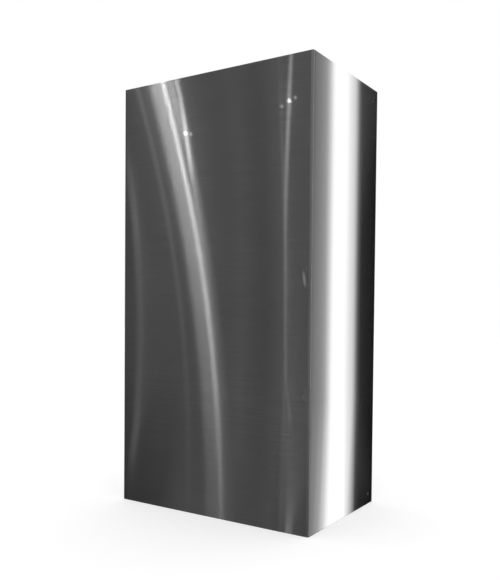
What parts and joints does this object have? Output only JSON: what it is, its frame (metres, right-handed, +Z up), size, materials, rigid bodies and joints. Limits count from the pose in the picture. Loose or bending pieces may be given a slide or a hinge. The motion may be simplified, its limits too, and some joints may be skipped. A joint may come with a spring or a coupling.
{
  "type": "cooker hood chimney section",
  "caption": "Three-sided cover folded from one brushed steel sheet, with an open back and narrow wall returns, which hides the flue pipe above a cooker hood.",
  "frame": {"origin": "on the plane of the lower rim, under the middle of the cover's outer box", "axes": "+Z up along the flue, -Y the front that faces the room, +Y the open back towards the wall, +X to the right seen from the room"},
  "size_m": [0.31, 0.2, 0.6],
  "materials": {
    "brushed_steel": "brushed around the folds, under a clear lacquer"
  },
  "bodies": {
    "root": {"chimney_cover": "brushed_steel"}
  },
  "joints": []
}
